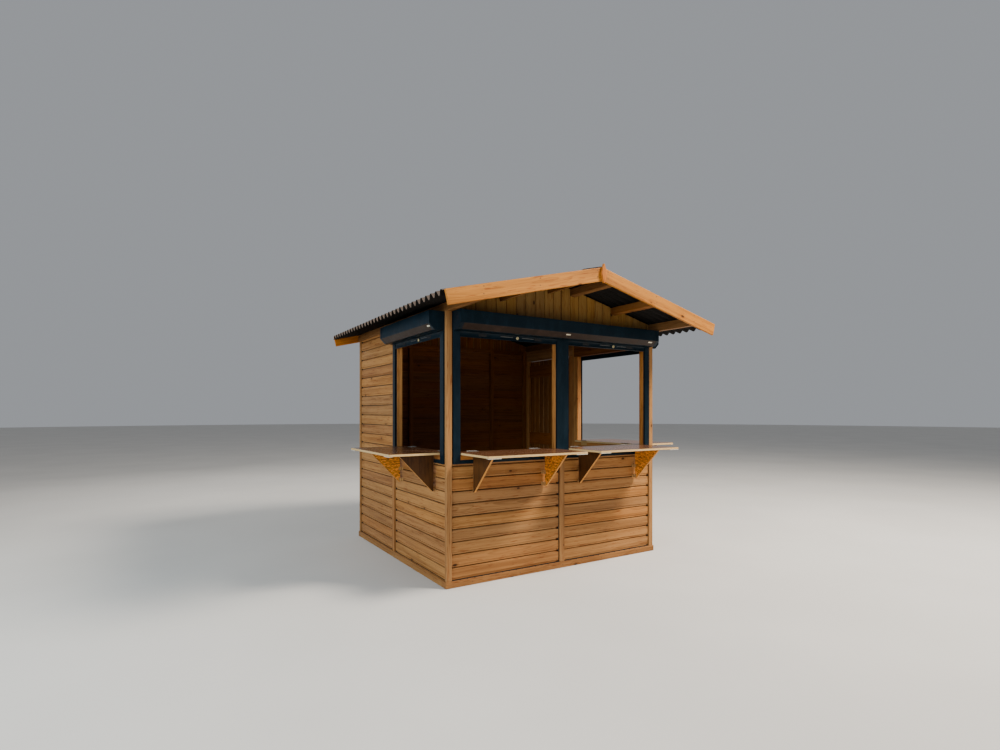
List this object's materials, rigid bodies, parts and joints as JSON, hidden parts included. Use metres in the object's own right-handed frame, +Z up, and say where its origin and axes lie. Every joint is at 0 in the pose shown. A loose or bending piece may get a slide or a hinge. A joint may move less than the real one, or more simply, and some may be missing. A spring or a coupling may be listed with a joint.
{
  "type": "wooden market stall",
  "caption": "Boarded timber market stall with a corrugated gable roof, shuttered serving hatches, fold-up shelves on swing-out brackets and a rear side door.",
  "frame": {"origin": "on the ground, under the middle of the overall box", "axes": "+X to the right along the front with the serving hatches, +Y to the back, +Z up"},
  "size_m": [3.02, 2.711, 2.4788],
  "materials": {
    "boards": "satin",
    "trim_timber": "satin",
    "roof_timber": "satin",
    "inner_timber": "matte",
    "shutter_paint": "satin",
    "film_ply": "gloss",
    "strand_board": "matte",
    "zinc": "satin",
    "roof_bitumen": "matte"
  },
  "bodies": {
    "cabin": {"bargeboards": "roof_timber", "base_rails": "trim_timber", "centre_posts": "trim_timber", "corner_posts": "trim_timber", "door_handle": "zinc", "door_head": "boards", "door_jambs": "inner_timber", "finials": "roof_timber", "front_boards_left": "boards", "front_boards_right": "boards", "front_gable": "boards", "front_shutter_box": "shutter_paint", "guide_rails": "shutter_paint", "hatch_sills": "inner_timber", "headers": "inner_timber", "hinge_leaves": "zinc", "jamb_posts": "inner_timber", "left_boards_front": "boards", "left_boards_rear": "boards", "left_shutter_box": "shutter_paint", "purlins": "roof_timber", "rear_boards": "boards", "rear_gable": "boards", "ridge_cap": "roof_bitumen", "right_boards_front": "boards", "right_shutter_box": "shutter_paint", "roof_sheet_left": "roof_bitumen", "roof_sheet_right": "roof_bitumen", "shutter_end_slats": "shutter_paint", "side_door": "boards", "sill_trims": "shutter_paint", "wall_rails": "inner_timber", "wall_studs": "inner_timber"},
    "front_left_shelf": {"front_left_shelf": "film_ply"},
    "front_left_bracket_left": {"front_left_bracket_left": "strand_board"},
    "front_left_bracket_right": {"front_left_bracket_right": "strand_board"},
    "front_right_shelf": {"front_right_shelf": "film_ply"},
    "front_right_bracket_left": {"front_right_bracket_left": "strand_board"},
    "front_right_bracket_right": {"front_right_bracket_right": "strand_board"},
    "left_shelf": {"left_shelf": "film_ply"},
    "left_bracket_front": {"left_bracket_front": "strand_board"},
    "left_bracket_rear": {"left_bracket_rear": "strand_board"},
    "right_shelf": {"right_shelf": "film_ply"},
    "right_bracket_front": {"right_bracket_front": "strand_board"},
    "right_bracket_rear": {"right_bracket_rear": "strand_board"}
  },
  "joints": [
    {"name": "front_left_shelf_hinge", "type": "hinge", "parent": "cabin", "child": "front_left_shelf", "pos_m": [-0.5245, -0.7215, 1.02], "axis": [-1, 0, 0], "range_deg": [0, 90]},
    {"name": "front_left_bracket_left_hinge", "type": "hinge", "parent": "cabin", "child": "front_left_bracket_left", "pos_m": [-0.852, -0.8385, 0.7785], "axis": [0, 0, 1], "range_deg": [0, 90]},
    {"name": "front_left_bracket_right_hinge", "type": "hinge", "parent": "cabin", "child": "front_left_bracket_right", "pos_m": [-0.197, -0.8385, 0.7785], "axis": [0, 0, -1], "range_deg": [0, 90]},
    {"name": "front_right_shelf_hinge", "type": "hinge", "parent": "cabin", "child": "front_right_shelf", "pos_m": [0.5245, -0.7215, 1.02], "axis": [-1, 0, 0], "range_deg": [0, 90]},
    {"name": "front_right_bracket_left_hinge", "type": "hinge", "parent": "cabin", "child": "front_right_bracket_left", "pos_m": [0.197, -0.8385, 0.7785], "axis": [0, 0, 1], "range_deg": [0, 90]},
    {"name": "front_right_bracket_right_hinge", "type": "hinge", "parent": "cabin", "child": "front_right_bracket_right", "pos_m": [0.852, -0.8385, 0.7785], "axis": [0, 0, -1], "range_deg": [0, 90]},
    {"name": "left_shelf_hinge", "type": "hinge", "parent": "cabin", "child": "left_shelf", "pos_m": [-0.989, -0.2645, 1.02], "axis": [0, 1, 0], "range_deg": [0, 90]},
    {"name": "left_bracket_front_hinge", "type": "hinge", "parent": "cabin", "child": "left_bracket_front", "pos_m": [-1.106, -0.5995, 0.7785], "axis": [0, 0, -1], "range_deg": [0, 90]},
    {"name": "left_bracket_rear_hinge", "type": "hinge", "parent": "cabin", "child": "left_bracket_rear", "pos_m": [-1.106, 0.0705, 0.7785], "axis": [0, 0, 1], "range_deg": [0, 90]},
    {"name": "right_shelf_hinge", "type": "hinge", "parent": "cabin", "child": "right_shelf", "pos_m": [0.989, -0.2645, 1.02], "axis": [0, -1, 0], "range_deg": [0, 90]},
    {"name": "right_bracket_front_hinge", "type": "hinge", "parent": "cabin", "child": "right_bracket_front", "pos_m": [1.106, -0.5995, 0.7785], "axis": [0, 0, 1], "range_deg": [0, 90]},
    {"name": "right_bracket_rear_hinge", "type": "hinge", "parent": "cabin", "child": "right_bracket_rear", "pos_m": [1.106, 0.0705, 0.7785], "axis": [0, 0, -1], "range_deg": [0, 90]}
  ]
}
